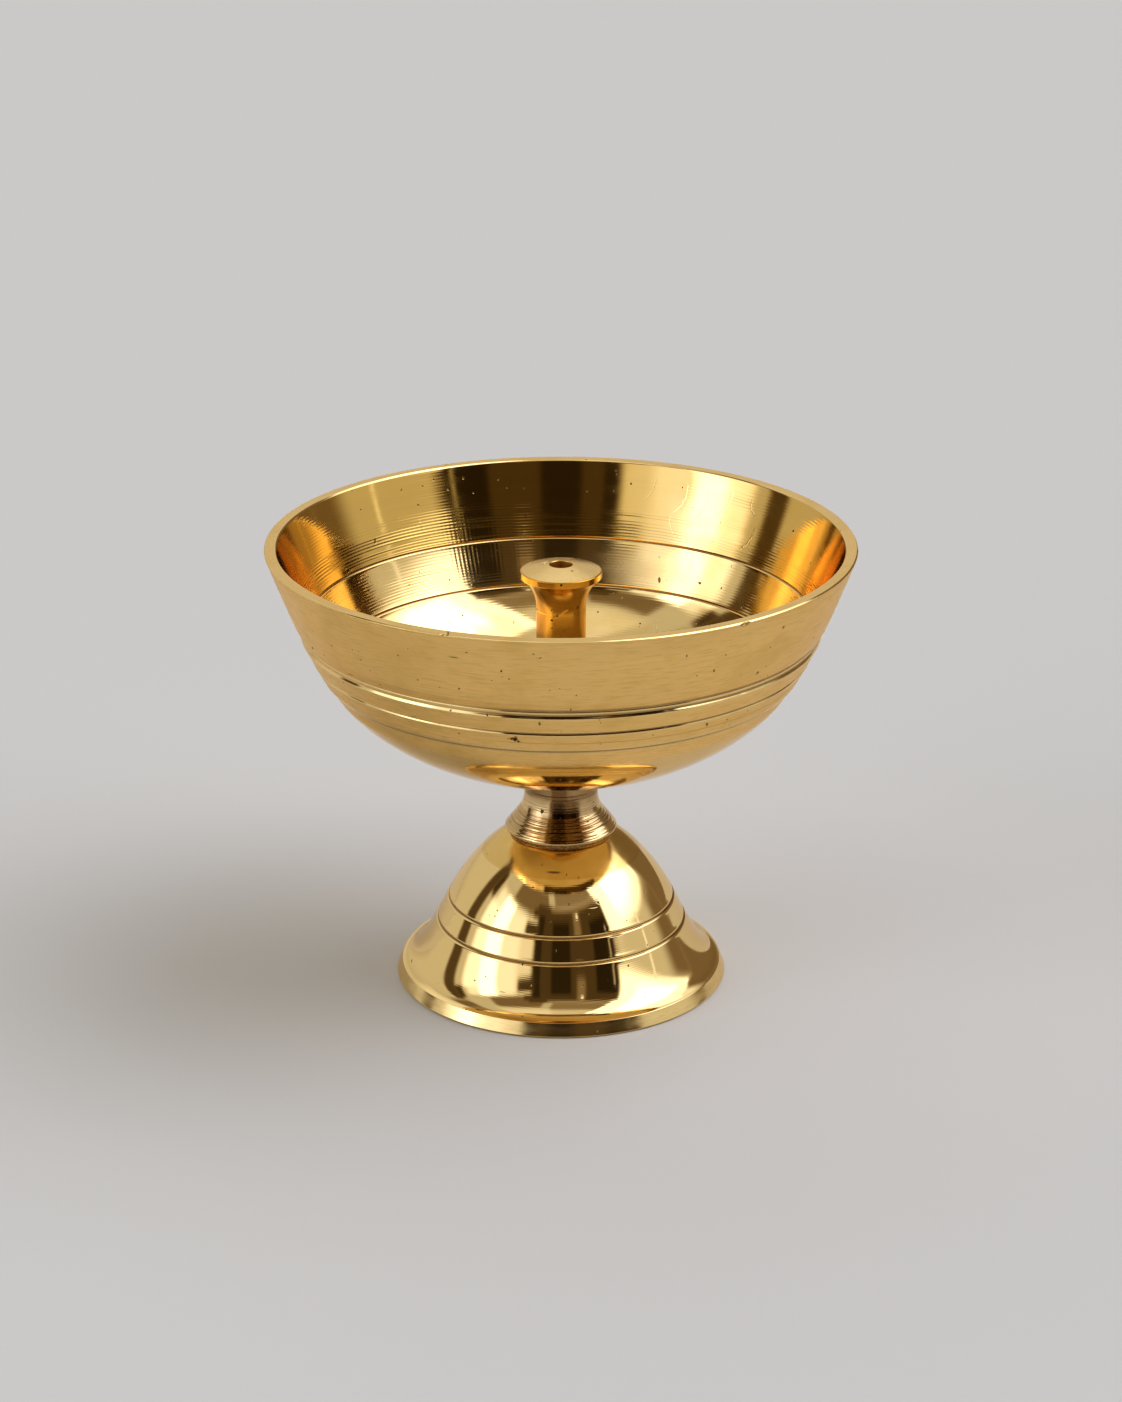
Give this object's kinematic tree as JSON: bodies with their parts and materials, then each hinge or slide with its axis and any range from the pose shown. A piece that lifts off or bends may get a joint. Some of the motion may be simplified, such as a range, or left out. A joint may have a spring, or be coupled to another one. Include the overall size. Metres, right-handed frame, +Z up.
{
  "type": "oil lamp",
  "caption": "Brass stand diya: a round oil bowl that screws onto a turned neck and a hollow bell foot, with a hollow wick pillar that screws into the middle of the bowl.",
  "frame": {"origin": "middle of the circle that the foot stands on", "axes": "+Z up along the lamp's axis, from the foot to the bowl; the wick pillar's oil ports open along X"},
  "size_m": [0.09, 0.09, 0.071],
  "materials": {
    "satin_brass": "satin turned cast brass with fine lathe lines",
    "polished_brass": "mirror polished cast brass",
    "turned_brass": "rough turned brass with open tool rings",
    "bar_brass": "deep golden bar brass, faintly streaked",
    "plain_brass": "plain machined brass",
    "fibre": "vulcanised fibre sheet"
  },
  "bodies": {
    "stand": {"bell_foot": "polished_brass", "neck_collar": "turned_brass", "crown_washer": "plain_brass", "lock_nut": "plain_brass"},
    "bowl_seal": {"bowl_washer": "fibre"},
    "bowl": {"oil_bowl": "satin_brass"},
    "pillar_seal": {"pillar_washer": "fibre"},
    "pillar": {"wick_pillar": "bar_brass"}
  },
  "joints": [
    {"name": "bowl_lift", "type": "slide", "parent": "stand", "child": "bowl_seal", "axis": [0, 0, 1], "range_m": [0, 0.0075]},
    {"name": "bowl_turn", "type": "hinge", "parent": "bowl_seal", "child": "bowl", "pos_m": [0, 0, 0.0355], "axis": [0, 0, 1], "range_deg": [0, 1800]},
    {"name": "pillar_lift", "type": "slide", "parent": "bowl", "child": "pillar_seal", "axis": [0, 0, 1], "range_m": [0, 0.005]},
    {"name": "pillar_turn", "type": "hinge", "parent": "pillar_seal", "child": "pillar", "pos_m": [0, 0, 0.041], "axis": [0, 0, 1], "range_deg": [0, 1440]}
  ],
  "couplings": [
    {"joint": "bowl_lift", "follows": "bowl_turn", "m_per_rad": 0.00023873},
    {"joint": "pillar_lift", "follows": "pillar_turn", "m_per_rad": 0.00019894}
  ]
}
